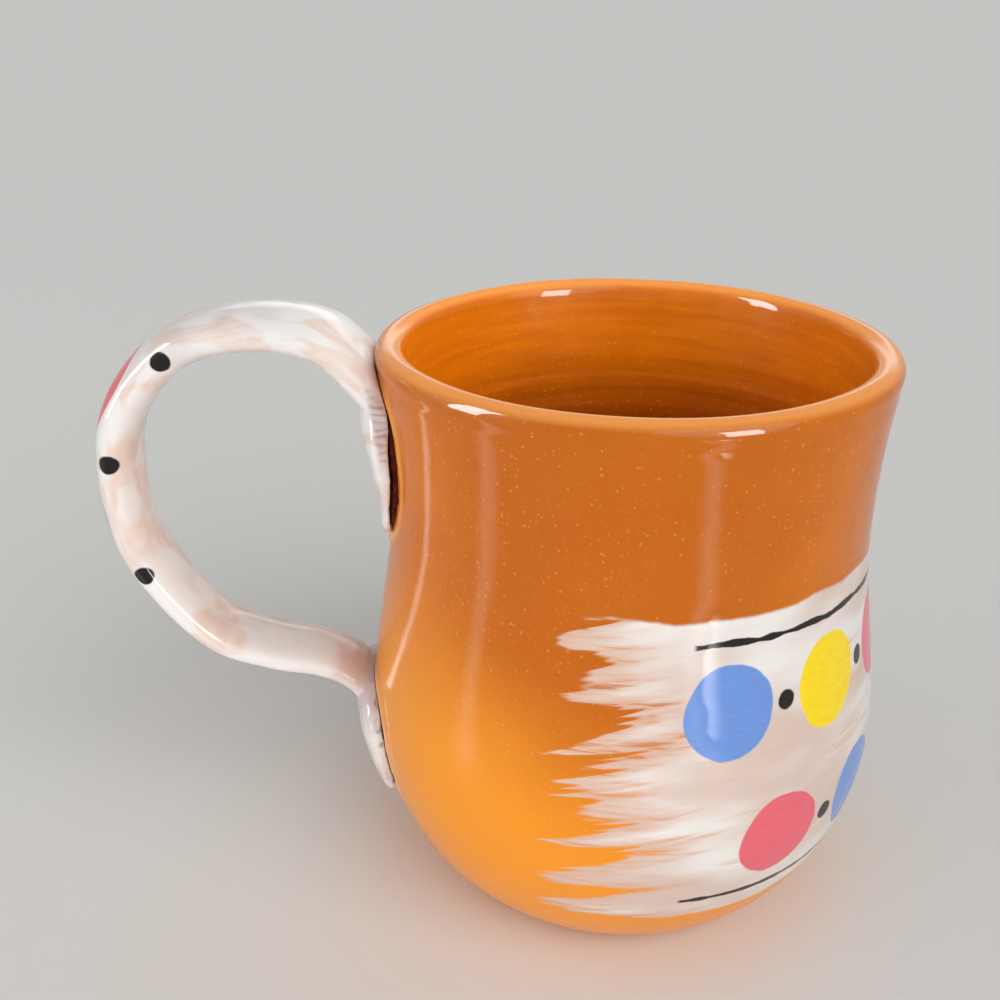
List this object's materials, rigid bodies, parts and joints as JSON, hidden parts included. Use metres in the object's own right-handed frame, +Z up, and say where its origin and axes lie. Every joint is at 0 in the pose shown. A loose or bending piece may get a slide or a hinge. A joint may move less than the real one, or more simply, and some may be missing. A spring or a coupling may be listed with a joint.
{
  "type": "coffee mug",
  "caption": "Round-bellied hand-thrown ceramic mug with a rounded flared lip and a pulled strap handle joined to the wall by slip at both tails.",
  "frame": {"origin": "centre of the flat foot, on the axis of the bowl", "axes": "+Z up along the axis of the bowl; the handle points along -X"},
  "size_m": [0.1416, 0.0946, 0.1101],
  "materials": {
    "red_clay": "glossy clear glaze over red clay with fine pale specks",
    "white_slip": "brushed white slip under glossy clear glaze, pinkish where thin",
    "joining_slip": "dark brown fired joining slip, satin"
  },
  "bodies": {
    "root": {"thrown_body": "red_clay", "pulled_handle": "white_slip", "upper_slip_joint": "joining_slip", "lower_slip_joint": "joining_slip"}
  },
  "joints": []
}
